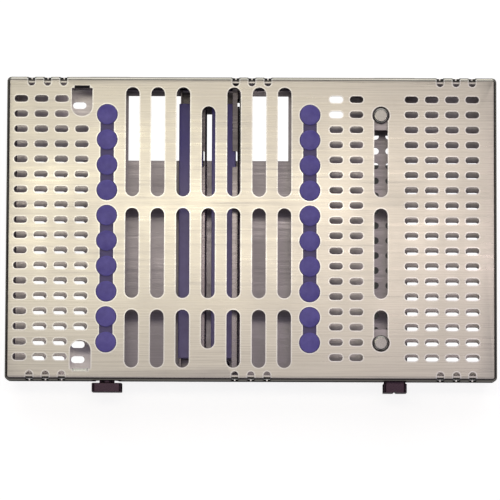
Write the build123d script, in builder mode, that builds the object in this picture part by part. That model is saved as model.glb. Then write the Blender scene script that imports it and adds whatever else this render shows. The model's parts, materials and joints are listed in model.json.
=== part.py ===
"""Dental instrument cassette: a perforated steel base tray and hinged lid, with silicone instrument rails.

Frame: millimetres, X along the length, Y from the latches (front) to the hinges (rear), Z up.
The origin is the centre of the base tray's underside, where the closed cassette rests on a table.
"""
import os
from math import asin, cos, pi, sin

from build123d import *

os.makedirs("parts", exist_ok=True)

# ---------------------------------------------------------------- driving dimensions
# case
case_length = 290.0  # lid, outside, along X
case_width = 180.0  # lid, outside, along Y
case_height = 33.0  # table to the top of the lid
sheet = 1.0  # steel of lid and tray
lid_depth = 16.0  # height of the lid's walls, outside
corner_radius = 2.6  # vertical corners, outside
bend_radius = 2.0  # bends between a plate and its walls, outside
tray_gap = 1.3  # between tray wall and lid wall
lid_rest_gap = 0.3  # between tray wall and lid plate
rear_wall_drop = 1.7  # how much lower the tray's rear wall is

# punched holes
hole_length = 8.0
hole_width = 4.0
column_pitch = 12.0
row_pitch = 9.0
row_margin = 13.5  # least distance from a row to the lid's long edge
row_shift = 0.3  # middle of the rows from the lid's middle, towards the hinges
land = 2.0  # least steel left between neighbouring openings
lid_left_margin = 8.5  # first column of the lid from its left edge
lid_right_margin = 14.5
lid_right_columns = 4
middle_column_x = 50.0
middle_columns = 2
tray_left_margin = 15.2  # first column of the tray from its left wall
tray_right_margin = 10.3

# long slots, in three rows parted by two bridges
slot_width = 8.0
slot_pitch = 15.0
slot_columns = 7
slot_rear_margin = 6.2
slot_front_margin = 7.6
bridge_width = 6.8
rear_bridge_y = 15.4
front_bridge_y = -44.8
centre_slot_shorter = 11.3  # how much sooner the centre column ends, front and rear

# instrument rails
rail_left_x = -85.5
rail_right_x = 34.5
station_pitch = 15.0
station_groups = (4, 4, 2)  # silicone discs joined by necks, from the rear
disc_diameter = 12.0
disc_clearance = 0.2
disc_proud = 0.3
neck_width = 8.0
lid_strip_width = 16.0
lid_strip_thickness = 2.0
pad_length = 12.0  # pressing pads under the lid, along X
pad_width = 8.0
pad_height = 5.2
rail_end = 8.5  # strip and rail beyond the last station
thin_sheet = 0.8  # steel of the small brackets
weld_foot = 4.8
rail_width = 12.4
rail_clearance = 0.1
rail_top = 24.5
rail_channel_height = 11.0
rail_foot = 6.0  # channel beyond the silicone, for its rivet
notch_width = 7.0
notch_depth = 5.5

# pair of centre supports
centre_pair_x = -24.85
centre_spacing = 19.5
centre_width = 15.6
centre_low_wall = 15.0
centre_high_wall = 17.8
centre_lip = 4.1
centre_bend = 1.2  # outside, between the high wall and its lip
centre_notch_y = 42.7  # small notch in the lip
centre_notch_length = 9.6
centre_notch_corner = 1.0
centre_drain_length = 14.0  # slot in the web under the notch
centre_relief_y = 76.4  # gap in the high wall beside the rear foot
centre_relief_length = 4.4
centre_relief_depth = 1.3
centre_strip_proud = 1.6  # silicone over the low wall
centre_strip_tuck = 2.0  # silicone in under the lip
centre_strip_lap = 0.85  # silicone outside the low wall
centre_lap_depth = 3.0
centre_strip_edge = 0.8

# windows
window_width = 12.2
window_length = 18.3
window_margin = 5.3  # its flat end from the lid's long edge
window_chamfer = 1.5
window_x = -100.5
tab_width = 8.8
tab_length = 1.8
tab_drop = 1.1
floor_window_length = 96.0
floor_window_width = 39.1
floor_window_x = -26.0
floor_window_margin = 5.0  # from the tray's rear wall
floor_tongue_length = 11.0  # floor left in the window between the centre supports
floor_d_window_x = 49.0

# vents over the long bends
vent_width = 4.1
vent_pitch = 9.5
vent_group_pitch = 121.0
vent_reach = 5.5

# accessory posts and their keyholes
post_x = 76.5
post_margin = 22.5  # from the lid's long edge
keyhole_diameter = 10.4
post_head = 9.4
post_head_height = 1.6
post_edge = 1.4  # radius round the head's flat top
post_proud = 0.2
post_shank = 5.0
bracket_width = 12.0
bracket_height = 28.0
bracket_reach = 8.4
bracket_back = 9.5
bracket_lip = 2.0

# hinges
hinge_x = 85.0
hinge_length = 24.0
hinge_barrel = 4.0
hinge_pin = 2.0
hinge_fit = 0.04  # radial, pin in barrel
knuckle_gap = 0.4
barrel_clearance = 0.4
leaf_reach = 11.0
pin_head = 3.2
pin_head_length = 0.6

# latches
latch_x = 85.0
latch_z = 22.0
knob_length = 17.8
knob_width = 13.8
knob_thickness = 5.3
knob_corner = 2.0
knob_stand_off = 1.3  # lid wall to knob
knob_groove = 1.8
neck_diameter = 13.0
neck_flats = 8.6
latch_clearance = 0.3
journal_diameter = 8.0
journal_fit = 0.06  # radial, and along the axis
washer_diameter = 13.0
washer_thickness = 0.8
clinch_diameter = 7.0
clinch_bore = 5.0
clinch_height = 0.8

# rivets
rivet_diameter = 3.0
rivet_head = 4.6
rivet_head_height = 0.7
rivet_row_wide = 8.5  # tray leaf rivets from the hinge's middle
rivet_row_narrow = 3.4  # lid leaf rivets from the hinge's middle

# wall holes of the tray
wall_hole_z = 9.0

# ---------------------------------------------------------------- worked out from them
lid_bottom = case_height - lid_depth
lid_under = case_height - sheet
lid_inner_width = case_width - 2 * sheet
tray_length = case_length - 2 * (sheet + tray_gap)
tray_width = case_width - 2 * (sheet + tray_gap)
tray_top = lid_under - lid_rest_gap
rear_wall_top = tray_top - rear_wall_drop

station_count = sum(station_groups)
stations = [((station_count - 1) / 2 - i) * station_pitch for i in range(station_count)]
rail_half = stations[0] + rail_end
row_count = int((case_width - 2 * row_margin) / row_pitch + 0.001) + 1
rows = [((row_count - 1) / 2 - i) * row_pitch + row_shift for i in range(row_count)]
slot_middle_x = (rail_left_x + rail_right_x) / 2
slot_xs = [slot_middle_x + (i - (slot_columns - 1) / 2) * slot_pitch for i in range(slot_columns)]
slot_rear = case_width / 2 - slot_rear_margin
slot_front = -(case_width / 2 - slot_front_margin)
slot_spans = [
    (rear_bridge_y + bridge_width / 2, slot_rear),
    (front_bridge_y + bridge_width / 2, rear_bridge_y - bridge_width / 2),
    (slot_front, front_bridge_y - bridge_width / 2),
]
window_outer = case_width / 2 - window_margin
window_inner = window_outer - window_length
post_y = case_width / 2 - post_margin
rails = {"left": rail_left_x, "right": rail_right_x}
hinges = {"left": -hinge_x, "right": hinge_x}
ends = {"rear": 1, "front": -1}


def dome_middle(radius, height):
    """Point halfway along a round cap's section, from its rim to its top, with the rim at height 0."""
    ball = (radius**2 + height**2) / (2 * height)
    half_angle = asin(radius / ball) / 2
    return ball * sin(half_angle), height - ball * (1 - cos(half_angle))


def columns_from(first, step, limit):
    """Places of hole columns from first towards limit, as many as leave a land before it."""
    count = int((abs(limit - first) - hole_length / 2 - land) / abs(step) + 0.001) + 1
    return [first + i * step for i in range(count)]


def in_window(x, y):
    """Whether a hole of the lid would run into one of its two D windows."""
    near_x = abs(x - window_x) < (window_width + hole_length) / 2
    return near_x and abs(y) + hole_width / 2 > window_inner - land / 2


def d_window(x, end):
    """D window in the active sketch: flat outer end with small chamfers, round inner end."""
    straight = window_length - window_width / 2
    with Locations((x, end * (window_outer - straight / 2))):
        Rectangle(window_width - 2 * window_chamfer, straight)
    with Locations((x, end * (window_outer - window_chamfer - (straight - window_chamfer) / 2))):
        Rectangle(window_width, straight - window_chamfer)
    with Locations((x, end * (window_outer - straight))):
        Circle(window_width / 2)


def slot_between(x, low, high):
    """Round-ended slot along Y in the active sketch."""
    with Locations((x, (low + high) / 2)):
        SlotOverall(high - low, slot_width, rotation=90)


lid_left_columns = columns_from(
    -case_length / 2 + lid_left_margin, column_pitch, rail_left_x - neck_width / 2
)
lid_columns = (
    lid_left_columns
    + [middle_column_x + i * column_pitch for i in range(middle_columns)]
    + [case_length / 2 - lid_right_margin - i * column_pitch for i in range(lid_right_columns)]
)
lid_holes = [(x, y) for x in lid_columns for y in rows if not in_window(x, y)]
tray_left_columns = columns_from(
    -tray_length / 2 + tray_left_margin, column_pitch, rail_left_x - rail_width / 2 - thin_sheet
)
tray_right_columns = columns_from(
    tray_length / 2 - tray_right_margin, -column_pitch, floor_d_window_x + window_width / 2
)
floor_window_rear = tray_width / 2 - floor_window_margin
floor_window_front = floor_window_rear - floor_window_width
channel_half = rail_half + rail_foot
rail_rivet_y = channel_half - rail_foot / 2
centre_xs = {
    "left": centre_pair_x - centre_spacing / 2,
    "right": centre_pair_x + centre_spacing / 2,
}
bracket_rivet_y = {"rear": (rows[0] + rows[1]) / 2, "front": (rows[-1] + rows[-2]) / 2}
rail_rivets = [(x, e * rail_rivet_y) for x in rails.values() for e in ends.values()]
centre_rivets = [(x, -rail_rivet_y) for x in centre_xs.values()]
bracket_rivets = [(post_x, y) for y in bracket_rivet_y.values()]
barrel_radius = hinge_barrel / 2
leaf_clear = barrel_radius + barrel_clearance
leaf_middle_low = lid_bottom - leaf_clear - leaf_reach / 2
leaf_middle_high = lid_bottom + leaf_clear + leaf_reach / 2
base_leaf_rivets = [(x + i * rivet_row_wide, leaf_middle_low) for x in hinges.values() for i in (-1, 1)]
lid_leaf_rivets = [(x + i * rivet_row_narrow, leaf_middle_high) for x in hinges.values() for i in (-1, 1)]
tray_holes = [(x, y) for x in tray_left_columns + tray_right_columns for y in rows]


# ---------------------------------------------------------------- lid
with BuildPart() as lid_shell:
    with BuildSketch(Plane.XY.offset(lid_bottom)):
        RectangleRounded(case_length, case_width, corner_radius)
    extrude(amount=lid_depth)
    fillet(lid_shell.faces().sort_by(Axis.Z)[-1].edges(), bend_radius)
    offset(amount=-sheet, openings=lid_shell.faces().sort_by(Axis.Z)[0])
    # small round-ended holes
    with BuildSketch(Plane.XY.offset(case_height)):
        with Locations(*lid_holes):
            SlotOverall(hole_length, hole_width)
    extrude(amount=-2 * sheet, mode=Mode.SUBTRACT)
    # long slots, keyholes and D windows
    with BuildSketch(Plane.XY.offset(case_height)):
        for x in slot_xs:
            shorter = centre_slot_shorter if x == slot_middle_x else 0.0
            slot_between(x, slot_spans[0][0], slot_spans[0][1] - shorter)
            slot_between(x, *slot_spans[1])
            slot_between(x, slot_spans[2][0] + shorter, slot_spans[2][1])
        slot_between(post_x, slot_spans[0][0], post_y)
        slot_between(post_x, *slot_spans[1])
        slot_between(post_x, -post_y, slot_spans[2][1])
        with Locations((post_x, post_y), (post_x, -post_y)):
            Circle(keyhole_diameter / 2)
        d_window(window_x, 1)
        d_window(window_x, -1)
    extrude(amount=-2 * sheet, mode=Mode.SUBTRACT)
    # chains of round cutouts for the silicone
    with BuildSketch(Plane.XY.offset(case_height)):
        for x in rails.values():
            start = 0
            for size in station_groups:
                group = stations[start : start + size]
                with Locations((x, (group[0] + group[-1]) / 2)):
                    Rectangle(neck_width, group[0] - group[-1])
                with Locations(*[(x, y) for y in group]):
                    Circle(disc_diameter / 2 + disc_clearance)
                start += size
    extrude(amount=-2 * sheet, mode=Mode.SUBTRACT)
    # vents that run over both long bends: the part in the plate, then the part in the wall
    vent_xs = [g * vent_group_pitch + i * vent_pitch for g in (-1, 0, 1) for i in (-1, 0, 1)]
    with BuildSketch(Plane.XY.offset(case_height)):
        for end in ends.values():
            with Locations(*[(x, end * case_width / 2) for x in vent_xs]):
                SlotOverall(2 * vent_reach, vent_width, rotation=90)
    extrude(amount=-bend_radius, mode=Mode.SUBTRACT)
    for end in ends.values():
        with BuildSketch(Plane.XZ.offset(end * case_width / 2)):
            with Locations(*[(x, case_height) for x in vent_xs]):
                SlotOverall(2 * vent_reach, vent_width, rotation=90)
        extrude(amount=-end * bend_radius, mode=Mode.SUBTRACT)
    # notches for the latch necks in the front wall and the hinge barrels in the rear wall
    with BuildSketch(Plane.XZ.offset(case_width / 2)):
        notch_radius = neck_diameter / 2 + latch_clearance
        with Locations((-latch_x, latch_z), (latch_x, latch_z)):
            Circle(notch_radius)
        with Locations(*[(x, (lid_bottom + latch_z) / 2) for x in (-latch_x, latch_x)]):
            Rectangle(2 * notch_radius, latch_z - lid_bottom)
    extrude(amount=-2 * sheet, mode=Mode.SUBTRACT)
    with BuildSketch(Plane.XZ.offset(-case_width / 2)):
        with Locations(*[(x, lid_bottom) for x in hinges.values()]):
            Rectangle(hinge_length + 2 * (pin_head_length + barrel_clearance), 2 * leaf_clear)
    extrude(amount=2 * sheet, mode=Mode.SUBTRACT)
    with BuildSketch(Plane.XZ.offset(-case_width / 2)):
        with Locations(*lid_leaf_rivets):
            Circle(rivet_diameter / 2)
    extrude(amount=2 * sheet, mode=Mode.SUBTRACT)
    # a small tab that slopes down from the flat end of each D window
    with BuildSketch(Plane.YZ.offset(window_x - tab_width / 2)):
        for end in ends.values():
            Polygon(
                (end * (window_outer + sheet), case_height),
                (end * window_outer, case_height),
                (end * (window_outer - tab_length), case_height - tab_drop),
                (end * (window_outer - tab_length), lid_under - tab_drop),
                (end * window_outer, lid_under),
                (end * (window_outer + sheet), lid_under),
                align=None,
            )
    extrude(amount=tab_width)
lid_shell.part.label = "lid_shell"
export_step(lid_shell.part, "parts/lid_shell.step")

for side, x in rails.items():
    with BuildPart() as lid_silicone:
        strip_bottom = lid_under - lid_strip_thickness
        with BuildSketch(Plane.XY.offset(strip_bottom)):
            with Locations((x, 0)):
                RectangleRounded(lid_strip_width, 2 * rail_half, disc_diameter / 4)
        extrude(amount=lid_strip_thickness)
        with BuildSketch(Plane.XY.offset(lid_under)):
            with Locations(*[(x, y) for y in stations]):
                Circle(disc_diameter / 2)
        extrude(amount=sheet + disc_proud)
        rims = lid_silicone.faces().filter_by(Axis.Z).sort_by(Axis.Z)[-station_count:].edges()
        fillet(rims, 2 * disc_proud)
        with BuildSketch(Plane.XY.offset(strip_bottom)):
            with Locations(*[(x, y) for y in stations]):
                RectangleRounded(pad_length, pad_width, pad_width / 4)
        extrude(amount=-pad_height)
        fillet(lid_silicone.faces().filter_by(Axis.Z).sort_by(Axis.Z)[:station_count].edges(), pad_width / 8)
    lid_silicone.part.label = f"lid_silicone_{side}"
    export_step(lid_silicone.part, f"parts/{lid_silicone.part.label}.step")

    with BuildPart() as lid_retainer:
        retainer_top = lid_under - lid_strip_thickness
        retainer_half = rail_half + rail_clearance
        with BuildSketch(Plane.YZ.offset(x - lid_strip_width / 2)):
            with Locations((0, retainer_top - thin_sheet / 2)):
                Rectangle(2 * (retainer_half + thin_sheet), thin_sheet)
            for end in ends.values():
                with Locations((end * (retainer_half + thin_sheet / 2), (retainer_top + lid_under) / 2)):
                    Rectangle(thin_sheet, lid_strip_thickness)
                with Locations((end * (retainer_half + weld_foot / 2), lid_under - thin_sheet / 2)):
                    Rectangle(weld_foot, thin_sheet)
        extrude(amount=lid_strip_width)
        with BuildSketch(Plane.XY.offset(retainer_top)):
            with Locations(*[(x, y) for y in stations]):
                RectangleRounded(
                    pad_length + 2 * rail_clearance, pad_width + 2 * rail_clearance, pad_width / 4
                )
        extrude(amount=-thin_sheet, mode=Mode.SUBTRACT)
    lid_retainer.part.label = f"lid_retainer_{side}"
    export_step(lid_retainer.part, f"parts/{lid_retainer.part.label}.step")

# ---------------------------------------------------------------- tray
with BuildPart() as base_tray:
    with BuildSketch(Plane.XY):
        RectangleRounded(tray_length, tray_width, corner_radius)
    extrude(amount=tray_top)
    fillet(base_tray.faces().sort_by(Axis.Z)[0].edges(), bend_radius)
    offset(amount=-sheet, openings=base_tray.faces().sort_by(Axis.Z)[-1])
    with BuildSketch(Plane.XY):
        with Locations(*tray_holes):
            SlotOverall(hole_length, hole_width)
    extrude(amount=2 * sheet, mode=Mode.SUBTRACT)
    with BuildSketch(Plane.XY):
        with Locations((floor_window_x, (floor_window_front + floor_window_rear) / 2)):
            Rectangle(floor_window_length, floor_window_width)
        with Locations((centre_pair_x, floor_window_rear - floor_tongue_length / 2)):
            Rectangle(centre_spacing, floor_tongue_length, mode=Mode.SUBTRACT)
        d_window(floor_d_window_x, 1)
    extrude(amount=2 * sheet, mode=Mode.SUBTRACT)
    # the rear wall is lower, so that the lid's tabs swing past it
    with BuildSketch(Plane.XY.offset(rear_wall_top)):
        with Locations((0, tray_width / 2)):
            Rectangle(tray_length, 2 * corner_radius)
    extrude(amount=rear_wall_drop + sheet, mode=Mode.SUBTRACT)
    # bores for the latches
    with BuildSketch(Plane.XZ.offset(tray_width / 2)):
        with Locations((-latch_x, latch_z), (latch_x, latch_z)):
            Circle(journal_diameter / 2 + journal_fit)
    extrude(amount=-2 * sheet, mode=Mode.SUBTRACT)
    # one row of holes along each wall, clear of latches and hinges
    half_row = int((tray_length / 2 - column_pitch) / column_pitch)
    wall_xs = [i * column_pitch for i in range(-half_row, half_row + 1)]
    kept_clear = hinge_length / 2 + hole_length / 2 + land
    wall_xs = [x for x in wall_xs if min(abs(abs(x) - latch_x), abs(abs(x) - hinge_x)) > kept_clear]
    with BuildSketch(Plane.XZ):
        with Locations(*[(x, wall_hole_z) for x in wall_xs]):
            SlotOverall(hole_length, hole_width)
    extrude(amount=tray_width, both=True, mode=Mode.SUBTRACT)
    half_row = int((tray_width / 2 - column_pitch) / column_pitch)
    wall_ys = [i * column_pitch for i in range(-half_row, half_row + 1)]
    with BuildSketch(Plane.YZ):
        with Locations(*[(y, wall_hole_z) for y in wall_ys]):
            SlotOverall(hole_length, hole_width)
    extrude(amount=tray_length, both=True, mode=Mode.SUBTRACT)
    # rivet holes in the floor and the rear wall
    with BuildSketch(Plane.XY):
        with Locations(*rail_rivets, *centre_rivets, *bracket_rivets):
            Circle(rivet_diameter / 2)
    extrude(amount=2 * sheet, mode=Mode.SUBTRACT)
    with BuildSketch(Plane.XZ.offset(-tray_width / 2)):
        with Locations(*base_leaf_rivets):
            Circle(rivet_diameter / 2)
    extrude(amount=2 * sheet, mode=Mode.SUBTRACT)
base_tray.part.label = "base_tray"
export_step(base_tray.part, "parts/base_tray.step")

# ---------------------------------------------------------------- instrument rails of the tray
for side, x in rails.items():
    with BuildPart() as rail_channel:
        inside = rail_width + 2 * rail_clearance
        with BuildSketch(Plane.XZ.offset(-channel_half)):
            with Locations((x, sheet + rail_channel_height / 2)):
                Rectangle(inside + 2 * thin_sheet, rail_channel_height)
            with Locations((x, sheet + thin_sheet + rail_channel_height / 2)):
                Rectangle(inside, rail_channel_height, mode=Mode.SUBTRACT)
        extrude(amount=2 * channel_half)
        with Locations(*[(x, e * rail_rivet_y, sheet + thin_sheet / 2) for e in ends.values()]):
            Cylinder(rivet_diameter / 2, thin_sheet, mode=Mode.SUBTRACT)
    rail_channel.part.label = f"base_rail_channel_{side}"
    export_step(rail_channel.part, f"parts/{rail_channel.part.label}.step")

    with BuildPart() as rail_silicone:
        rail_floor = sheet + thin_sheet
        with BuildSketch(Plane.YZ.offset(x - rail_width / 2)):
            with Locations((0, (rail_floor + rail_top) / 2)):
                Rectangle(2 * rail_half, rail_top - rail_floor)
            notch_centre = rail_top - notch_depth + notch_width / 2
            with Locations(*[(y, notch_centre) for y in stations]):
                Circle(notch_width / 2, mode=Mode.SUBTRACT)
            with Locations(*[(y, notch_centre + notch_depth / 2) for y in stations]):
                Rectangle(notch_width, notch_depth, mode=Mode.SUBTRACT)
        extrude(amount=rail_width)
    rail_silicone.part.label = f"base_silicone_{side}"
    export_step(rail_silicone.part, f"parts/{rail_silicone.part.label}.step")

# ---------------------------------------------------------------- pair of centre supports
centre_rear = tray_width / 2 - sheet - bend_radius
for side, x in centre_xs.items():
    left_edge = x - centre_width / 2
    right_edge = x + centre_width / 2
    strip_left = left_edge + thin_sheet
    strip_right = right_edge - centre_lip + centre_strip_tuck
    wall_inside = right_edge - thin_sheet
    with BuildPart() as centre_channel:
        # web, low left wall, high right wall with a lip turned inwards
        with BuildSketch(Plane.XZ.offset(channel_half)):
            with Locations((x, sheet + thin_sheet / 2)):
                Rectangle(centre_width, thin_sheet)
            with Locations((left_edge + thin_sheet / 2, sheet + centre_low_wall / 2)):
                Rectangle(thin_sheet, centre_low_wall)
            with Locations((right_edge - thin_sheet / 2, sheet + centre_high_wall / 2)):
                Rectangle(thin_sheet, centre_high_wall)
            with Locations((right_edge - centre_lip / 2, sheet + centre_high_wall - thin_sheet / 2)):
                Rectangle(centre_lip, thin_sheet)
        extrude(amount=-(channel_half + centre_rear))
        lip_top = sheet + centre_high_wall
        bend_edges = centre_channel.edges().filter_by(Axis.Y)
        fillet(bend_edges.sort_by_distance((right_edge, 0, lip_top))[0], centre_bend)
        bend_edges = centre_channel.edges().filter_by(Axis.Y)
        inner_corner = (wall_inside, 0, lip_top - thin_sheet)
        fillet(bend_edges.sort_by_distance(inner_corner)[0], centre_bend - thin_sheet)
        with BuildSketch(Plane.XY.offset(lip_top)):
            with Locations((right_edge - centre_lip, centre_notch_y)):
                RectangleRounded(2 * (centre_lip - centre_bend), centre_notch_length, centre_notch_corner)
        extrude(amount=-thin_sheet, mode=Mode.SUBTRACT)
        # drain slot between silicone and wall, and the gap beside the rear foot
        with BuildSketch(Plane.XY.offset(sheet)):
            with Locations(((strip_right + wall_inside) / 2, centre_notch_y)):
                Rectangle(wall_inside - strip_right, centre_drain_length)
        extrude(amount=thin_sheet, mode=Mode.SUBTRACT)
        with BuildSketch(Plane.XY.offset(sheet)):
            with Locations((right_edge, centre_relief_y)):
                Rectangle(2 * centre_relief_depth, centre_relief_length)
        extrude(amount=centre_high_wall, mode=Mode.SUBTRACT)
        with Locations((x, -rail_rivet_y, sheet + thin_sheet / 2)):
            Cylinder(rivet_diameter / 2, thin_sheet, mode=Mode.SUBTRACT)
    centre_channel.part.label = f"centre_channel_{side}"
    export_step(centre_channel.part, f"parts/{centre_channel.part.label}.step")

    with BuildPart() as centre_silicone:
        # strip inside the channel, tucked under the lip and lapped over the low wall
        lap_left = left_edge - centre_strip_lap
        wall_top = sheet + centre_low_wall
        strip_top = wall_top + centre_strip_proud
        with BuildSketch(Plane.XZ.offset(-rail_half)):
            with Locations(((strip_left + strip_right) / 2, (sheet + thin_sheet + strip_top) / 2)):
                Rectangle(strip_right - strip_left, strip_top - sheet - thin_sheet)
            with Locations(((lap_left + strip_right) / 2, wall_top + centre_strip_proud / 2)):
                Rectangle(strip_right - lap_left, centre_strip_proud)
            with Locations((left_edge - centre_strip_lap / 2, strip_top - (centre_lap_depth / 2))):
                Rectangle(centre_strip_lap, centre_lap_depth)
        extrude(amount=2 * rail_half)
        fillet(centre_silicone.edges().filter_by(Axis.Y).group_by(Axis.Z)[-1], centre_strip_edge)
    centre_silicone.part.label = f"centre_silicone_{side}"
    export_step(centre_silicone.part, f"parts/{centre_silicone.part.label}.step")

# ---------------------------------------------------------------- accessory posts
shelf_top = bracket_height
shelf_inner = post_y - bracket_reach
foot_outer = post_y + bracket_back
for place, end in ends.items():
    with BuildPart() as bracket:
        # C profile: foot on the tray floor, riser, shelf towards the middle with a lip turned down
        with BuildSketch(Plane.YZ.offset(post_x - bracket_width / 2)):
            with Locations((end * (shelf_inner + foot_outer) / 2, sheet + thin_sheet / 2)):
                Rectangle(foot_outer - shelf_inner, thin_sheet)
            with Locations((end * (foot_outer - thin_sheet / 2), (sheet + shelf_top) / 2)):
                Rectangle(thin_sheet, shelf_top - sheet)
            with Locations((end * (shelf_inner + foot_outer) / 2, shelf_top - thin_sheet / 2)):
                Rectangle(foot_outer - shelf_inner, thin_sheet)
            with Locations((end * (shelf_inner + thin_sheet / 2), shelf_top - bracket_lip / 2)):
                Rectangle(thin_sheet, bracket_lip)
        extrude(amount=bracket_width)
        with Locations((post_x, end * post_y, shelf_top - thin_sheet / 2)):
            Cylinder(clinch_bore / 2, thin_sheet, mode=Mode.SUBTRACT)
        with Locations((post_x, bracket_rivet_y[place], sheet + thin_sheet / 2)):
            Cylinder(rivet_diameter / 2, thin_sheet, mode=Mode.SUBTRACT)
    bracket.part.label = f"accessory_bracket_{place}"
    export_step(bracket.part, f"parts/{bracket.part.label}.step")

    with BuildPart() as post:
        head_top = case_height + post_proud
        head_bottom = head_top - post_head_height
        flat_radius = post_head / 2 - post_edge
        edge_z = head_top - post_edge
        edge_middle = post_edge * sin(pi / 4)
        with BuildSketch(Plane.XZ.offset(-end * post_y)):
            with BuildLine():
                Polyline(
                    (post_x, head_top),
                    (post_x, shelf_top - thin_sheet - clinch_height),
                    (post_x + clinch_diameter / 2, shelf_top - thin_sheet - clinch_height),
                    (post_x + clinch_diameter / 2, shelf_top - thin_sheet),
                    (post_x + clinch_bore / 2, shelf_top - thin_sheet),
                    (post_x + clinch_bore / 2, shelf_top),
                    (post_x + post_shank / 2 + sheet / 2, shelf_top),
                    (post_x + post_shank / 2 + sheet / 2, head_bottom),
                    (post_x + post_head / 2, head_bottom),
                    (post_x + post_head / 2, edge_z),
                )
                ThreePointArc(
                    (post_x + post_head / 2, edge_z),
                    (post_x + flat_radius + edge_middle, edge_z + edge_middle),
                    (post_x + flat_radius, head_top),
                )
                Line((post_x + flat_radius, head_top), (post_x, head_top))
            make_face()
        revolve(axis=Axis((post_x, end * post_y, 0), (0, 0, 1)))
    post.part.label = f"accessory_post_{place}"
    export_step(post.part, f"parts/{post.part.label}.step")

# ---------------------------------------------------------------- hinges
bore_radius = hinge_pin / 2 + hinge_fit
axis_y = case_width / 2
axis_z = lid_bottom
knuckle = (hinge_length - 2 * knuckle_gap) / 3
outer_starts = (-hinge_length / 2, hinge_length / 2 - knuckle)
base_leaf_inner = tray_width / 2
base_leaf_outer = base_leaf_inner + sheet
lid_leaf_outer = axis_y - sheet
lid_leaf_inner = lid_leaf_outer - thin_sheet
for side, x in hinges.items():
    with BuildPart() as base_leaf:
        # plate on the tray's rear wall, below the barrels
        with BuildSketch(Plane.YZ.offset(x - hinge_length / 2)):
            with Locations(((base_leaf_inner + base_leaf_outer) / 2, leaf_middle_low)):
                Rectangle(base_leaf_outer - base_leaf_inner, leaf_reach)
        extrude(amount=hinge_length)
        # the two outer knuckles, each with its neck
        for start in outer_starts:
            with BuildSketch(Plane.YZ.offset(x + start)):
                with Locations((axis_y, axis_z)):
                    Circle(barrel_radius)
                with Locations(((base_leaf_inner + base_leaf_outer) / 2, axis_z - leaf_clear)):
                    Rectangle(base_leaf_outer - base_leaf_inner, 2 * leaf_clear)
                with Locations((axis_y, axis_z)):
                    Circle(bore_radius, mode=Mode.SUBTRACT)
            extrude(amount=knuckle)
        with BuildSketch(Plane.XZ.offset(-base_leaf_inner)):
            with Locations(*[(x + i * rivet_row_wide, leaf_middle_low) for i in (-1, 1)]):
                Circle(rivet_diameter / 2)
        extrude(amount=-2 * sheet, mode=Mode.SUBTRACT)
    base_leaf.part.label = f"hinge_leaf_base_{side}"
    export_step(base_leaf.part, f"parts/{base_leaf.part.label}.step")

    with BuildPart() as lid_leaf:
        with BuildSketch(Plane.YZ.offset(x - hinge_length / 2)):
            with Locations(((lid_leaf_inner + lid_leaf_outer) / 2, leaf_middle_high)):
                Rectangle(thin_sheet, leaf_reach)
        extrude(amount=hinge_length)
        with BuildSketch(Plane.YZ.offset(x - knuckle / 2)):
            with Locations((axis_y, axis_z)):
                Circle(barrel_radius)
            with Locations(((lid_leaf_inner + lid_leaf_outer) / 2, axis_z + leaf_clear)):
                Rectangle(thin_sheet, 2 * leaf_clear)
            with Locations((axis_y, axis_z)):
                Circle(bore_radius, mode=Mode.SUBTRACT)
        extrude(amount=knuckle)
        with BuildSketch(Plane.XZ.offset(-lid_leaf_inner)):
            with Locations(*[(x + i * rivet_row_narrow, leaf_middle_high) for i in (-1, 1)]):
                Circle(rivet_diameter / 2)
        extrude(amount=-2 * sheet, mode=Mode.SUBTRACT)
    lid_leaf.part.label = f"hinge_leaf_lid_{side}"
    export_step(lid_leaf.part, f"parts/{lid_leaf.part.label}.step")

    with BuildPart() as pin:
        with BuildSketch(Plane.YZ.offset(x - hinge_length / 2)):
            with Locations((axis_y, axis_z)):
                Circle(hinge_pin / 2)
        extrude(amount=hinge_length)
        for start, step in ((-hinge_length / 2, -pin_head_length), (hinge_length / 2, pin_head_length)):
            with BuildSketch(Plane.YZ.offset(x + start)):
                with Locations((axis_y, axis_z)):
                    Circle(pin_head / 2)
            extrude(amount=step)
    pin.part.label = f"hinge_pin_{side}"
    export_step(pin.part, f"parts/{pin.part.label}.step")

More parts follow.
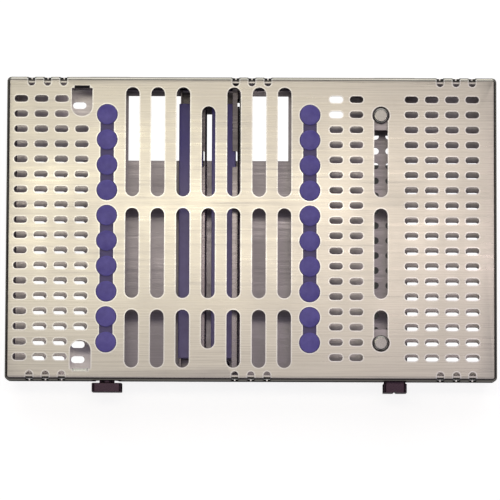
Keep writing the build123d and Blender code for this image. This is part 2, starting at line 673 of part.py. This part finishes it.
# ---------------------------------------------------------------- latches: quarter-turn knobs
# each knob's long side lies along one direction at rest: along X released, along Z locked
latch_wall = tray_width / 2
knob_inner = case_width / 2 + knob_stand_off
latches = {
    "left": (-latch_x, (1, 0, 0), (0, 0, 1)),
    "right": (latch_x, (0, 0, 1), (-1, 0, 0)),
}
for side, (x, long_way, short_way) in latches.items():
    with BuildPart() as knob:
        # head: bar with a shallow groove along its outer face
        with BuildSketch(Plane(origin=(x, -knob_inner, latch_z), x_dir=short_way, z_dir=long_way)):
            with BuildLine():
                Polyline(
                    (-knob_width / 2, 0),
                    (knob_width / 2, 0),
                    (knob_width / 2, knob_thickness),
                    (knob_groove / 2, knob_thickness),
                    (0, knob_thickness - knob_groove / 2),
                    (-knob_groove / 2, knob_thickness),
                    (-knob_width / 2, knob_thickness),
                    close=True,
                )
            make_face()
        extrude(amount=knob_length / 2, both=True)
        fillet(knob.edges().filter_by(Axis.Y), knob_corner)
        # neck with two flats, journal in the tray's wall, reduced end with its clinched rim
        with BuildSketch(Plane(origin=(x, -knob_inner, latch_z), x_dir=long_way, z_dir=(0, 1, 0))):
            Circle(neck_diameter / 2)
            Rectangle(neck_flats, neck_diameter, mode=Mode.INTERSECT)
        extrude(amount=knob_inner - latch_wall - journal_fit)
        with BuildSketch(Plane(origin=(x, -knob_inner, latch_z), z_dir=(0, 1, 0))):
            Circle(journal_diameter / 2)
        extrude(amount=knob_inner - latch_wall + sheet + journal_fit)
        washer_inner = knob_inner - latch_wall + sheet + journal_fit + washer_thickness
        with BuildSketch(Plane(origin=(x, -knob_inner, latch_z), z_dir=(0, 1, 0))):
            Circle(clinch_bore / 2)
        extrude(amount=washer_inner)
        with BuildSketch(Plane(origin=(x, washer_inner - knob_inner, latch_z), z_dir=(0, 1, 0))):
            Circle(clinch_diameter / 2)
        extrude(amount=clinch_height)
    knob.part.label = f"latch_knob_{side}"
    export_step(knob.part, f"parts/{knob.part.label}.step")

    with BuildPart() as washer:
        with BuildSketch(Plane.XZ.offset(latch_wall - sheet - journal_fit)):
            with Locations((x, latch_z)):
                Circle(washer_diameter / 2)
                Circle(clinch_bore / 2, mode=Mode.SUBTRACT)
        extrude(amount=-washer_thickness)
    washer.part.label = f"latch_washer_{side}"
    export_step(washer.part, f"parts/{washer.part.label}.step")

# ---------------------------------------------------------------- rivets
# one rivet upright on its flush tail, for each thickness of metal it clamps
grips = {"floor": sheet + thin_sheet, "base_leaf": 2 * sheet, "lid_leaf": sheet + thin_sheet}
rivets = {}
dome_x, dome_z = dome_middle(rivet_head / 2, rivet_head_height)
for use, grip in grips.items():
    with BuildPart() as rivet:
        with BuildSketch(Plane.XZ):
            with BuildLine():
                Polyline(
                    (0, grip + rivet_head_height),
                    (0, 0),
                    (rivet_diameter / 2, 0),
                    (rivet_diameter / 2, grip),
                    (rivet_head / 2, grip),
                )
                ThreePointArc(
                    (rivet_head / 2, grip),
                    (dome_x, grip + dome_z),
                    (0, grip + rivet_head_height),
                )
            make_face()
        revolve(axis=Axis.Z)
    rivets[use] = rivet.part

floor_groups = {
    "base_rail_rivets": rail_rivets,
    "centre_channel_rivets": centre_rivets,
    "accessory_bracket_rivets": bracket_rivets,
}
for name, places in floor_groups.items():
    with BuildPart() as group:
        with Locations(*places):
            add(rivets["floor"])
    group.part.label = name
    export_step(group.part, f"parts/{name}.step")

rearwards = (-90, 0, 0)
with BuildPart() as hinge_rivets_base:
    with Locations(*[Location((x, tray_width / 2 - sheet, z), rearwards) for x, z in base_leaf_rivets]):
        add(rivets["base_leaf"])
hinge_rivets_base.part.label = "hinge_rivets_base"
export_step(hinge_rivets_base.part, "parts/hinge_rivets_base.step")

with BuildPart() as hinge_rivets_lid:
    with Locations(*[Location((x, lid_leaf_inner, z), rearwards) for x, z in lid_leaf_rivets]):
        add(rivets["lid_leaf"])
hinge_rivets_lid.part.label = "hinge_rivets_lid"
export_step(hinge_rivets_lid.part, "parts/hinge_rivets_lid.step")
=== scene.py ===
"""Looks of the dental instrument cassette: finishes, softened edges, moulded silicone, light and camera.

Everything is in metres in the frame of the CAD model: X along the case, Y towards the hinges, Z up.
"""
import json
import math

import bmesh
import bpy
from mathutils import Matrix, Vector


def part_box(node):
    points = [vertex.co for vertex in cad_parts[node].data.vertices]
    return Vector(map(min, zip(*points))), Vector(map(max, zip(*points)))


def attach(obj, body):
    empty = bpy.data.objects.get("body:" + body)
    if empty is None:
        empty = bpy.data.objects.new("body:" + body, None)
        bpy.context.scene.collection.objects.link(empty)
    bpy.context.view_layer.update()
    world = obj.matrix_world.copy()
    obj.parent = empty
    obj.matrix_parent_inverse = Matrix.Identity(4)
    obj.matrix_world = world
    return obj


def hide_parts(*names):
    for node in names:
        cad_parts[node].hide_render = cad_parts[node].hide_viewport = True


MM = 0.001

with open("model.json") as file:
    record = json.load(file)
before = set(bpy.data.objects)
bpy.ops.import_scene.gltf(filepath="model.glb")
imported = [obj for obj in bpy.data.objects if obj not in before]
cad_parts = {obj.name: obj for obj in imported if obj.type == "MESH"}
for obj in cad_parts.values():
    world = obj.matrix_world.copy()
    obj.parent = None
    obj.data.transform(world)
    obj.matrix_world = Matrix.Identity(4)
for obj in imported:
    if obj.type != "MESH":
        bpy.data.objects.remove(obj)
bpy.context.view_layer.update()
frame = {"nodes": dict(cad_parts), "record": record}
node_body = {name: body for body, names in frame["record"]["behaviour"]["bodies"].items() for name in names}
node_slot = {part["node"]: part["material_slot"] for part in frame["record"]["subparts"]}
lid_low, lid_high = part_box("lid_shell")
tray_low, tray_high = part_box("base_tray")


# ---------------------------------------------------------------- materials
class Nodes:
    """A node tree under construction: each call adds one node and links or sets its inputs."""

    def __init__(self, tree):
        self.tree = tree

    def put(self, node, values):
        for key, value in values.items():
            socket = node.inputs[key]
            if isinstance(value, bpy.types.NodeSocket):
                self.tree.links.new(value, socket)
            else:
                socket.default_value = value

    def node(self, kind, values=None, **settings):
        made = self.tree.nodes.new("ShaderNode" + kind)
        for key, value in settings.items():
            setattr(made, key, value)
        self.put(made, values or {})
        return made

    def math(self, operation, a, b=0.0):
        made = self.node("Math", operation=operation)
        self.put(made, {0: a, 1: b})
        return made.outputs[0]

    def times(self, a, b):
        return self.math("MULTIPLY", a, b)

    def size_of(self, value):
        return self.math("ABSOLUTE", value)

    def larger(self, a, b):
        return self.math("MAXIMUM", a, b)

    def axes(self, vector):
        """The three parts of a vector, by the letters X, Y and Z."""
        return self.node("SeparateXYZ", {0: vector}).outputs

    def mix(self, factor, a, b):
        made = self.node("Mix", data_type="RGBA")
        self.put(made, {"Factor": factor, "A": a, "B": b})
        return made.outputs["Result"]

    def mix_value(self, factor, a, b):
        made = self.node("Mix", data_type="FLOAT")
        self.put(made, {0: factor, 2: a, 3: b})
        return made.outputs[0]

    def mix_shader(self, factor, a, b):
        return self.node("MixShader", {0: factor, 1: a, 2: b}).outputs[0]

    def ramp(self, value, low, high, to_low=0.0, to_high=1.0):
        made = self.node("MapRange", clamp=True)
        span = {"Value": value, "From Min": low, "From Max": high, "To Min": to_low, "To Max": to_high}
        self.put(made, span)
        return made.outputs["Result"]

    def band(self, value, start, full, still_full, end):
        """Rises from start to full and falls from still_full to end."""
        return self.times(self.ramp(value, start, full), self.ramp(value, end, still_full))

    def noise(self, vector, scale, detail=3.0, roughness=0.55):
        values = {"Vector": vector, "Scale": scale, "Detail": detail, "Roughness": roughness}
        return self.node("TexNoise", values).outputs["Fac"]

    def bump(self, height, strength, distance):
        values = {"Height": height, "Strength": strength, "Distance": distance}
        return self.node("Bump", values).outputs["Normal"]


class Shader(Nodes):
    """A new node material under construction, with its Principled node as surface."""

    def __init__(self, name):
        self.material = bpy.data.materials.new(name)
        self.material.use_nodes = True
        super().__init__(self.material.node_tree)
        self.surface = self.tree.nodes["Principled BSDF"]


def colour(red, green, blue):
    return (red, green, blue, 1.0)


def scaled(tint, factor):
    return colour(*(factor * part for part in tint))


fine_grain = (22.0, 2600.0)  # noise cells per metre, along the rolling direction and across it
coarse_grain = (9.0, 620.0)
end_facing = 0.7  # a surface whose normal has at least this much X is an end wall
rear_shade = (0.025, 0.050)  # Y where the painted shade towards the hinges starts and is full
outer_fields_x = (0.089, 0.092)  # the floor's lighter fields, painted light, begin here at both ends
post_field_x = (0.041, 0.044, 0.069, 0.071)
floor_shoulder = (0.004, 0.003)  # Z where the floor's tone starts and is full, going down
wall_shoulder = (0.0035, 0.0050)  # and the walls' tone, going up
bend_level = (0.94, 0.998)  # the normal's Z, from a bend to flat plate
end_bends = (0.03, 0.20, 0.95, 0.995)  # bands of the normal's X, Y and -Y with the bends' painted shade
rear_bend_starts = (0.02, 0.10, 0.24, 0.34)
rear_bend_ends = (0.66, 0.78, 0.99, 0.999)
front_bends = (0.22, 0.45, 0.999, 0.9999)
long_bend_share = 0.9  # how much of the painted shade the long bends get
shade_tint = 0.25  # painted shade on bends and cut edges, as a share of the dark streaks' colour
rim_reach = 0.9 * MM  # width of the painted highlight rim round an opening
rim_share = 0.7


def grain_vector(shader, grain):
    """Object coordinates drawn out along the rolling direction, X, and down the end walls."""
    along, across = grain
    coordinates = shader.node("TexCoord")
    place = coordinates.outputs["Object"]
    xyz = shader.axes(place)
    facing = shader.axes(coordinates.outputs["Normal"])
    on_end = shader.math("GREATER_THAN", shader.size_of(facing["X"]), end_facing)
    drop = shader.times(xyz["Z"], on_end)
    kept = shader.math("SUBTRACT", xyz["Z"], drop)
    run = shader.times(shader.math("ADD", xyz["X"], drop), along)
    made = shader.node("CombineXYZ")
    shader.put(made, {"X": run, "Y": shader.times(xyz["Y"], across), "Z": shader.times(kept, across)})
    return place, made.outputs[0]


def shaded_rear(shader, place):
    """One towards the hinges and nothing towards the latches, with a soft change between."""
    return shader.ramp(shader.axes(place)["Y"], *rear_shade)


def painted_light_under_hole_fields(shader, place):
    """One on the floor left and right of the bays, under the lid's fields of small holes: painted light."""
    xyz = shader.axes(place)
    outer = shader.ramp(shader.size_of(xyz["X"]), *outer_fields_x)
    beside_posts = shader.band(xyz["X"], *post_field_x)
    on_floor = shader.ramp(xyz["Z"], *floor_shoulder)
    return shader.times(shader.larger(outer, beside_posts), on_floor)


def painted_bend_shade(shader, facing):
    """One on the bends at the ends and in front, and on two fine lines along the rear bend: painted shade.
    """
    at_end = shader.band(shader.size_of(facing["X"]), *end_bends)
    start_line = shader.band(facing["Y"], *rear_bend_starts)
    end_line = shader.band(facing["Y"], *rear_bend_ends)
    front = shader.band(shader.times(facing["Y"], -1.0), *front_bends)
    lines = shader.larger(front, shader.larger(start_line, end_line))
    return shader.larger(at_end, shader.times(lines, long_bend_share))


def brushed_steel(
    name, light, dark, rough, grain=1.0, bend_rough=None, rim=None, rear=None, fields=None, walls=None
):
    """Rolled and brushed stainless sheet: fine streaks, a few long scratches and cloudy handling marks.

    With bend_rough, bends and walls are smoother and most bends get painted shade. With rim, openings get a
    painted highlight rim of that colour and a cut edge darkened by painted shade. The steel turns to the
    colour rear towards the hinges, a painted shade, and to the colour walls above the floor. On the floor,
    it has the colour fields under the lid's fields of holes, a painted light.
    """
    shader = Shader(name)
    place, fine = grain_vector(shader, fine_grain)
    _, coarse = grain_vector(shader, coarse_grain)
    fine_streaks = shader.noise(fine, scale=1.0, detail=2.0, roughness=0.6)
    coarse_streaks = shader.noise(coarse, scale=1.0, detail=3.0, roughness=0.65)
    cloud = shader.noise(place, scale=26.0, detail=4.0, roughness=0.6)
    scratch = shader.ramp(coarse_streaks, 0.66, 0.74)
    streaks = shader.math("ADD", shader.times(fine_streaks, 0.5), shader.times(coarse_streaks, 0.5))
    tone = shader.ramp(shader.math("ADD", streaks, shader.times(cloud, 0.25)), 0.52, 0.74)
    base = shader.mix(tone, colour(*dark), colour(*light))
    roughness = shader.math(
        "ADD",
        shader.ramp(streaks, 0.35, 0.65, rough - 0.07, rough + 0.07),
        shader.ramp(cloud, 0.35, 0.7, -0.03, 0.05),
    )
    facing = shader.axes(shader.node("TexCoord").outputs["Normal"])
    level = shader.size_of(facing["Z"])
    if bend_rough is not None:
        roughness = shader.mix_value(shader.ramp(level, *bend_level), bend_rough, roughness)
        # painted shade on most bends
        base = shader.mix(painted_bend_shade(shader, facing), base, scaled(dark, shade_tint))
    if rear is not None:
        # painted shade towards the hinges
        base = shader.mix(shaded_rear(shader, place), base, colour(*rear))
    if fields is not None:
        # painted light on the floor under the lid's fields of holes
        base = shader.mix(painted_light_under_hole_fields(shader, place), base, colour(*fields))
    if walls is not None:
        # the walls keep the lighter steel colour; the darker colour below them is painted shade in the tray
        on_wall = shader.ramp(shader.axes(place)["Z"], *wall_shoulder)
        base = shader.mix(on_wall, base, shader.mix(tone, scaled(walls, 0.8), colour(*walls)))
    if rim is not None:
        inward = shader.node(
            "AmbientOcclusion", {"Distance": rim_reach}, inside=True, only_local=True, samples=6
        )
        # painted highlight: a bright rim round each opening
        rim_highlight_mask = shader.ramp(inward.outputs["AO"], 0.98, 0.84)
        cut_edge_shade = shader.times(rim_highlight_mask, shader.ramp(level, 0.97, 0.80))
        base = shader.mix(shader.times(rim_highlight_mask, rim_share), base, colour(*rim))
        # painted shade on the cut edge of each opening
        base = shader.mix(cut_edge_shade, base, scaled(dark, shade_tint))
    height = shader.math("SUBTRACT", streaks, shader.times(scratch, 0.5))
    shader.put(
        shader.surface,
        {
            "Base Color": base,
            "Metallic": 1.0,
            "Roughness": roughness,
            "Anisotropic": 0.5,
            "Tangent": shader.node("CombineXYZ", {"X": 1.0, "Y": 0.0, "Z": 0.02}).outputs[0],
            "Normal": shader.bump(height, 0.30 * grain, 0.08 * MM),
        },
    )
    return shader.material


def polished_steel(name, tint, rough):
    """Turned and tumbled hardware: near-mirror steel with fine handling marks."""
    shader = Shader(name)
    place = shader.node("TexCoord").outputs["Object"]
    marks = shader.noise(place, scale=420.0, detail=3.0, roughness=0.5)
    cloud = shader.noise(place, scale=120.0, detail=3.0, roughness=0.5)
    shader.put(
        shader.surface,
        {
            "Base Color": shader.mix(shader.ramp(cloud, 0.35, 0.65), colour(*tint), scaled(tint, 0.85)),
            "Metallic": 1.0,
            "Roughness": shader.ramp(marks, 0.3, 0.7, rough, rough + 0.06),
            "Normal": shader.bump(marks, 0.02, 0.04 * MM),
        },
    )
    return shader.material


recess_z = (lid_high.z - 0.6 * MM, lid_high.z - 0.9 * MM)  # where the recess's painted sheen and shade start and are full
dust_colour = colour(0.55, 0.53, 0.62)


def silicone(name, deep, light, rear=None, recess=None):
    """Moulded silicone rubber: soft sheen, faint mottling and a fine matt skin.

    The rubber turns to the colour rear towards the hinges, a painted shade, and to the colour recess below
    the lid's plate, a painted sheen and shade on the recessed necks.
    """
    shader = Shader(name)
    place = shader.node("TexCoord").outputs["Object"]
    mottle = shader.noise(place, scale=160.0, detail=4.0, roughness=0.6)
    skin = shader.noise(place, scale=2600.0, detail=2.0, roughness=0.5)
    specks = shader.noise(place, scale=5200.0, detail=2.0, roughness=0.7)
    dust = shader.ramp(specks, 0.70, 0.78)
    base = shader.mix(shader.ramp(mottle, 0.3, 0.7), colour(*deep), colour(*light))
    if rear is not None:
        # painted shade towards the hinges
        base = shader.mix(shaded_rear(shader, place), base, colour(*rear))
    if recess is not None:
        # painted sheen and shade on the recessed necks below the lid's plate
        recess_sheen_and_shade = shader.ramp(shader.axes(place)["Z"], *recess_z)
        base = shader.mix(recess_sheen_and_shade, base, colour(*recess))
    shader.put(
        shader.surface,
        {
            "Base Color": shader.mix(shader.times(dust, 0.25), base, dust_colour),
            "Roughness": shader.ramp(mottle, 0.3, 0.7, 0.30, 0.40),
            "Subsurface Weight": 0.12,
            "Subsurface Radius": (1.5 * MM, 1.2 * MM, 3.0 * MM),
            "Subsurface Scale": 1.0,
            "IOR": 1.43,
            "Specular IOR Level": 0.38,
            "Normal": shader.bump(skin, 0.12, 0.06 * MM),
        },
    )
    return shader.material


finishes = {
    "lid_steel": brushed_steel(
        "lid_steel",
        (0.86, 0.825, 0.74),
        (0.62, 0.59, 0.52),
        0.34,
        bend_rough=0.13,
        rim=(1.0, 1.0, 0.98),
    ),
    # tray: floor colours darker and cooler than the walls, painted shade under the lid; fields add painted
    # light
    "tray_steel": brushed_steel(
        "tray_steel",
        (0.55, 0.51, 0.555),
        (0.43, 0.395, 0.44),
        0.36,
        grain=0.6,
        bend_rough=0.24,
        fields=(0.92, 0.86, 0.90),
        walls=(0.84, 0.81, 0.77),
    ),
    "bracket_steel": brushed_steel(
        "bracket_steel", (0.46, 0.43, 0.45), (0.38, 0.35, 0.37), 0.36, grain=0.2
    ),
    # supports: a darker copy of the steel, painted shade in the bays, darker still towards the hinges
    "support_steel_painted_shade": brushed_steel(
        "support_steel_painted_shade",
        (0.37, 0.335, 0.345),
        (0.29, 0.26, 0.28),
        0.30,
        grain=0.2,
        rear=(0.15, 0.135, 0.145),
    ),
    "hardware_steel": polished_steel("hardware_steel", (0.45, 0.44, 0.415), 0.20),
    # knobs: a near-black copy of the hardware steel, a painted dark reflection
    "knob_steel_painted_dark": polished_steel("knob_steel_painted_dark", (0.080, 0.052, 0.070), 0.24),
    "silicone": silicone("silicone", (0.145, 0.116, 0.46), (0.215, 0.180, 0.60)),
    "lid_silicone": silicone(
        "lid_silicone", (0.145, 0.116, 0.46), (0.215, 0.180, 0.60), recess=(0.185, 0.150, 0.36)
    ),
    # centre silicone: a paler copy of the silicone, painted light in the bays, with painted shade towards
    # the hinges
    "silicone_painted_light": silicone(
        "silicone_painted_light", (0.34, 0.285, 0.60), (0.42, 0.36, 0.70), rear=(0.23, 0.19, 0.58)
    ),
}


def finish_of(node):
    """The finish of the node's slot, or one for the lid's silicone, the supports or the knobs alone."""
    if node.startswith("lid_silicone"):
        return finishes["lid_silicone"]
    if node.startswith("centre_silicone"):
        return finishes["silicone_painted_light"]
    if node.startswith("centre_channel") and not node.endswith("rivets"):
        return finishes["support_steel_painted_shade"]
    if node.startswith("latch_knob"):
        return finishes["knob_steel_painted_dark"]
    return finishes[node_slot[node]]


# ---------------------------------------------------------------- pieces
edge_widths = {
    "lid_steel": 0.18 * MM,
    "tray_steel": 0.18 * MM,
    "bracket_steel": 0.15 * MM,
    "silicone": 0.45 * MM,
}
knob_edge = 0.35 * MM
weld_distance = 0.002 * MM
flat_angle = math.radians(0.4)
sharp_angle = math.radians(30.0)
disc_radius = 5.4 * MM  # inside the disc's rounded rim
disc_crown = 0.35 * MM
disc_rings = 6


def softened(node, width, segments=2):
    """A copy of a CAD node's mesh with every edge rounded off by width; it stands for the node."""
    mesh = bpy.data.meshes.new(node + "_soft")
    work = bmesh.new()
    work.from_mesh(frame["nodes"][node].data)
    bmesh.ops.remove_doubles(work, verts=work.verts, dist=weld_distance)
    bmesh.ops.dissolve_limit(
        work, angle_limit=flat_angle, verts=work.verts, edges=work.edges, delimit={"NORMAL"}
    )
    work.to_mesh(mesh)
    work.free()
    for layer in [a for a in mesh.attributes if a.name == "custom_normal"]:
        mesh.attributes.remove(layer)
    mesh.shade_smooth()
    mesh.set_sharp_from_angle(angle=sharp_angle)
    piece = bpy.data.objects.new(node + "_soft", mesh)
    bpy.context.scene.collection.objects.link(piece)
    bevel = piece.modifiers.new("edges", "BEVEL")
    bevel.width = width
    bevel.segments = segments
    bevel.limit_method = "ANGLE"
    bevel.angle_limit = sharp_angle
    bevel.harden_normals = True
    bevel.use_clamp_overlap = True
    mesh.materials.clear()
    mesh.materials.append(finish_of(node))
    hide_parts(node)
    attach(piece, node_body[node])
    return piece


def domed(node):
    """Crown the flat top of each silicone disc, ring by ring; the disc's outline stays."""
    piece = softened(node, edge_widths["silicone"])
    work = bmesh.new()
    work.from_mesh(piece.data)
    top = max(vertex.co.z for vertex in work.verts)
    tops = [
        face
        for face in work.faces
        if face.normal.z > 0.99
        and abs(face.calc_center_median().z - top) < 0.05 * MM
        and face.calc_area() > 0.5 * math.pi * disc_radius**2
    ]
    step = disc_radius / (disc_rings + 1)
    for ring in range(disc_rings):
        outer = disc_radius - ring * step
        inner = outer - step
        rise = disc_crown * (outer**2 - inner**2) / disc_radius**2
        bmesh.ops.inset_individual(work, faces=tops, thickness=step, depth=rise, use_even_offset=True)
    for face in work.faces:
        face.smooth = True
    work.to_mesh(piece.data)
    work.free()
    piece.data.set_sharp_from_angle(angle=sharp_angle)
    return piece


def dressed(node):
    """A CAD node that keeps its own mesh gets its finish."""
    mesh = frame["nodes"][node].data
    mesh.materials.clear()
    mesh.materials.append(finish_of(node))


for node_name, slot_name in node_slot.items():
    if node_name.startswith("lid_silicone"):
        domed(node_name)
    elif slot_name in edge_widths:
        softened(node_name, edge_widths[slot_name])
    elif node_name.startswith("latch_knob"):
        softened(node_name, knob_edge, segments=3)
    else:
        dressed(node_name)


# ---------------------------------------------------------------- floor, light and camera
white = colour(1.0, 1.0, 0.97)
pale_floor_from = (0.008, 0.030)  # distance from the case where the reflected pale floor starts and is full; nearer, a painted contact shadow
backdrop_from = (0.11, 0.16)  # Y behind the hinges


def stage_material(name, base, glow, bounce, sweep=False):
    """Bright where it is looked at; what reflects in the steel is a plain dull surface.

    With sweep, it reflects as a pale floor away from the case and as a white backdrop behind the hinges;
    near the case it reflects dull, a painted contact shadow.
    """
    shader = Shader(name)
    shader.put(
        shader.surface,
        {
            "Base Color": colour(base, base, base),
            "Roughness": 0.6,
            "Emission Color": colour(1.0, 1.0, 1.0),
            "Emission Strength": glow,
        },
    )
    reflected = shader.node("BsdfDiffuse", {"Color": colour(bounce, bounce, bounce)}).outputs[0]
    if sweep:
        place = shader.axes(shader.node("TexCoord").outputs["Object"])
        backdrop = shader.node("Emission", {"Color": white, "Strength": 0.9}).outputs[0]
        pale = shader.node("Emission", {"Color": colour(1.0, 0.98, 0.99), "Strength": 0.55}).outputs[0]
        clear_x = shader.math("SUBTRACT", shader.size_of(place["X"]), tray_high.x)
        clear_y = shader.math("SUBTRACT", shader.size_of(place["Y"]), tray_high.y)
        # painted contact shadow: the reflected floor is dull near the case and pale away from it
        beyond_contact_shadow = shader.ramp(shader.larger(clear_x, clear_y), *pale_floor_from)
        reflected = shader.mix_shader(beyond_contact_shadow, reflected, pale)
        reflected = shader.mix_shader(shader.ramp(place["Y"], *backdrop_from), reflected, backdrop)
    seen = shader.node("LightPath").outputs["Is Camera Ray"]
    both = shader.mix_shader(seen, reflected, shader.surface.outputs[0])
    shader.put(shader.tree.nodes["Material Output"], {"Surface": both})
    return shader.material


def stage_rectangle(name, left, right, front, rear, height, material):
    mesh = bpy.data.meshes.new(name)
    corners = ((left, front), (right, front), (right, rear), (left, rear))
    mesh.from_pydata([(x, y, height) for x, y in corners], [], [(0, 1, 2, 3)])
    mesh.materials.append(material)
    made = bpy.data.objects.new(name, mesh)
    bpy.context.scene.collection.objects.link(made)


floor_reach = 6.0
floor_z = -0.2 * MM
floor_finish = stage_material("floor", base=0.60, glow=0.80, bounce=0.16, sweep=True)
stage_rectangle("floor", -floor_reach, floor_reach, -floor_reach, floor_reach, floor_z, floor_finish)

# panels under the tray, hidden by it; the glowing ones, painted light, show white through its holes
# and windows, and the dark ones are painted shade
panel_inset = 4 * MM
panel_z = -0.1 * MM
side_panel_x = 93.5 * MM
rear_panel_y = 41.5 * MM
support_shade = 7 * MM  # painted shade: a dark strip right of the centre supports
panel_left, panel_right = tray_low.x + panel_inset, tray_high.x - panel_inset
panel_front, panel_rear = tray_low.y + panel_inset, tray_high.y - panel_inset
_, support_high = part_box("centre_channel_right")
shade_left, shade_right = support_high.x, support_high.x + support_shade
# glowing panels are painted light; dark panels are painted shade
glowing_panel_finish = stage_material("glowing_panel", base=0.30, glow=1.05, bounce=0.10)
shade_panel_finish = stage_material("painted_shade_panel", base=0.10, glow=0.03, bounce=0.05)
for panel_name, left, right, front, rear, finish in (
    ("panel_rear_left", panel_left, shade_left, rear_panel_y, panel_rear, glowing_panel_finish),
    ("panel_shade", shade_left, shade_right, rear_panel_y, panel_rear, shade_panel_finish),
    ("panel_rear_right", shade_right, panel_right, rear_panel_y, panel_rear, glowing_panel_finish),
    ("panel_left", panel_left, -side_panel_x, panel_front, rear_panel_y, glowing_panel_finish),
    ("panel_right", side_panel_x, panel_right, panel_front, rear_panel_y, glowing_panel_finish),
    ("panel_middle", -side_panel_x, side_panel_x, panel_front, rear_panel_y, shade_panel_finish),
):
    stage_rectangle(panel_name, left, right, front, rear, panel_z, finish)


lamp_height = 0.95


def overhead(name, x, y, size, power, tint):
    """A rectangular lamp that hangs over a point of the case and shines straight down."""
    light = bpy.data.lights.new(name, "AREA")
    light.shape = "RECTANGLE"
    light.size, light.size_y = size
    light.energy = power
    light.color = tint
    lamp = bpy.data.objects.new(name, light)
    lamp.location = (x, y, lamp_height)
    lamp.rotation_euler = Vector((0.0, 0.0, -1.0)).to_track_quat("-Z", "Y").to_euler()
    lamp.visible_camera = False
    bpy.context.scene.collection.objects.link(lamp)


overhead("warm_overhead", -0.14, 0.112, (0.48, 0.12), 0.58, (1.0, 0.95, 0.74))
overhead("rose_overhead", 0.22, 0.078, (0.28, 0.07), 0.22, (1.0, 0.83, 0.86))

# the room: a pale ceiling and corners, grey low down all round and a white backdrop behind the hinges
world = bpy.data.worlds.new("studio")
bpy.context.scene.world = world
world.use_nodes = True
sky = Nodes(world.node_tree)
direction = sky.axes(sky.node("TexCoord").outputs["Generated"])
east, north, up = (direction[axis] for axis in "XYZ")
least_level = 0.001  # keeps the quotients finite straight overhead
level = sky.math("SQRT", sky.math("SUBTRACT", 1.0, sky.times(up, up)))
level = sky.larger(level, least_level)
diagonal = sky.math("DIVIDE", sky.times(east, north), sky.times(level, level))
corner = sky.ramp(sky.size_of(diagonal), 0.15, 0.50)
behind = sky.ramp(sky.math("DIVIDE", north, level), 0.80, 0.90)
backdrop = sky.times(behind, sky.ramp(up, 0.90, 0.86))
gap_over_backdrop = sky.times(behind, sky.ramp(up, 0.988, 0.975))
low_band = sky.band(up, 0.0, 0.05, 0.45, 0.80)
all_round = sky.band(up, 0.0, 0.05, 0.30, 0.50)
dark_room = colour(0.045, 0.038, 0.048)
pale_ceiling = colour(0.545, 0.515, 0.565)
grey_walls = colour(0.42, 0.41, 0.42)
pale_corners = colour(0.66, 0.645, 0.65)
room = sky.mix(sky.ramp(up, 0.90, 1.0), dark_room, pale_ceiling)
room = sky.mix(gap_over_backdrop, room, dark_room)
room = sky.mix(all_round, room, grey_walls)
room = sky.mix(sky.times(corner, low_band), room, pale_corners)
room = sky.mix(backdrop, room, white)
sky.put(world.node_tree.nodes["Background"], {"Color": room, "Strength": 1.0})

# the photograph: 500 px square, its centre 0.8 mm left of and 12.8 mm in front of the lid's middle
photo_side = 500
scale_px_per_mm = 1.695
lid_middle_px = (251.3, 228.25)
camera_distance = 2.0
camera_tilt = math.radians(4.9)
camera_roll = math.radians(0.21)
sensor = 36.0  # mm
lid_middle = (lid_low + lid_high) / 2
target = Vector(
    (
        lid_middle.x + (photo_side / 2 - lid_middle_px[0]) / scale_px_per_mm * MM,
        lid_middle.y - (photo_side / 2 - lid_middle_px[1]) / scale_px_per_mm * MM,
        lid_high.z,
    )
)
camera_data = bpy.data.cameras.new("camera")
camera_data.sensor_width = sensor
camera_data.lens = sensor * camera_distance / (photo_side / scale_px_per_mm * MM)
camera = bpy.data.objects.new("camera", camera_data)
back = Vector((0.0, -math.sin(camera_tilt), math.cos(camera_tilt)))
camera.location = target + back * camera_distance
camera.rotation_euler = (
    ((-back).to_track_quat("-Z", "Y").to_matrix() @ Matrix.Rotation(camera_roll, 3, "Z")).to_euler()
)
camera_data.clip_start = 0.05
camera_data.clip_end = 50.0
bpy.context.scene.collection.objects.link(camera)
bpy.context.scene.camera = camera
bpy.context.scene.view_settings.view_transform = "Standard"
